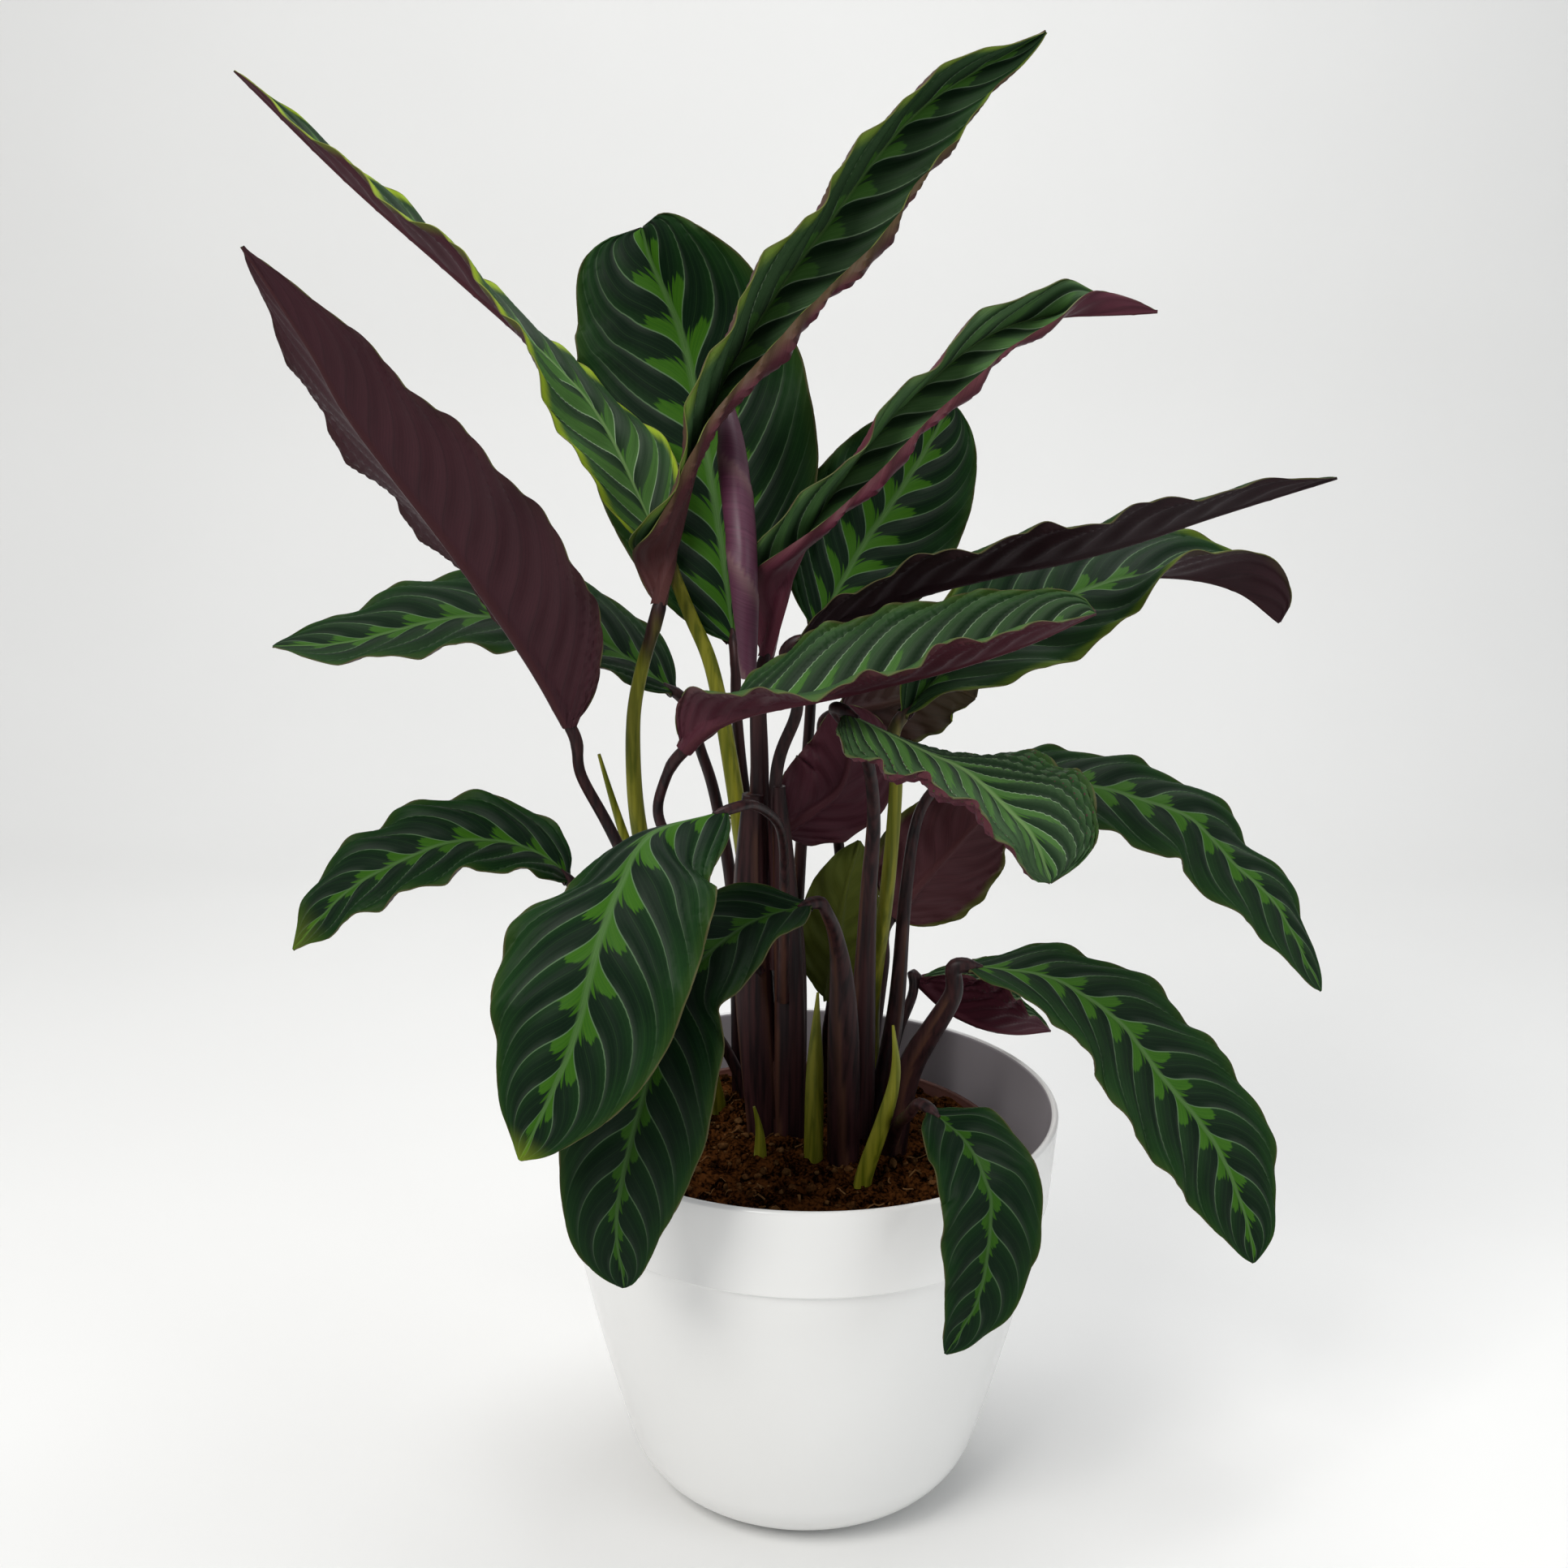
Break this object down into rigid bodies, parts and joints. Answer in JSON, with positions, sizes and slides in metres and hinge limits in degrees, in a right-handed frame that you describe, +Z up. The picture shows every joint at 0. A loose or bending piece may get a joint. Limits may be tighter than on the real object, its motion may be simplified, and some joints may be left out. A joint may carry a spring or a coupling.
{
  "type": "potted calathea",
  "caption": "Leafy calathea plant in soil in a brown grower's pot, standing inside a plain white tapered cover pot with a low band round its rim.",
  "frame": {"origin": "on the floor, at the middle of the cover pot's flat foot", "axes": "+Z up along the pot's axis; -Y towards the side that is seen first; +X to the right of that view"},
  "size_m": [0.518, 0.3018, 0.6845],
  "materials": {
    "white_plastic": "smooth, softly glossy",
    "brown_plastic": "thin moulded plastic",
    "soil": "loose moist potting soil",
    "leaf_green": "velvety leaf, dark green with a bright feathered midrib, purple below",
    "leaf_purple": "rolled young leaf, purple outside",
    "stalk_dark": "smooth purple-brown stalk",
    "stalk_green": "smooth yellow-green stalk"
  },
  "bodies": {
    "root": {"pot": "white_plastic", "inner_pot": "brown_plastic", "soil": "soil", "leaf_tall_right": "leaf_green", "leaf_tall_left": "leaf_green", "leaf_oval_back": "leaf_green", "leaf_middle_right": "leaf_green", "leaf_oval_behind": "leaf_green", "leaf_long_right": "leaf_green", "leaf_curled_right": "leaf_green", "leaf_centre_right": "leaf_green", "leaf_long_left": "leaf_green", "leaf_behind_left": "leaf_green", "leaf_low_left": "leaf_green", "leaf_front_left": "leaf_green", "leaf_front_middle": "leaf_green", "leaf_front_right": "leaf_green", "leaf_arching_right": "leaf_green", "leaf_low_right": "leaf_green", "leaf_over_rim": "leaf_green", "leaf_small_back": "leaf_green", "leaf_underside_right": "leaf_green", "leaf_underside_high": "leaf_green", "leaf_underside_middle": "leaf_green", "leaf_olive_middle": "leaf_green", "stem_tall_right": "stalk_green", "stem_tall_left": "stalk_green", "stem_long_left": "stalk_dark", "stem_behind_left": "stalk_dark", "stem_low_left": "stalk_dark", "stems_centre": "stalk_dark", "stem_oval_back": "stalk_dark", "stem_oval_behind": "stalk_dark", "stem_underside_middle": "stalk_dark", "sheath_front": "stalk_dark", "sheath_young": "stalk_green", "stems_right": "stalk_dark", "stem_right_green": "stalk_green", "stem_underside_right": "stalk_dark", "stem_underside_high": "stalk_dark", "stem_small_back": "stalk_dark", "stem_olive": "stalk_dark", "stems_front_right": "stalk_dark", "spear_front": "stalk_green", "spear_small": "stalk_green", "leaf_rolled": "leaf_purple"}
  },
  "joints": []
}
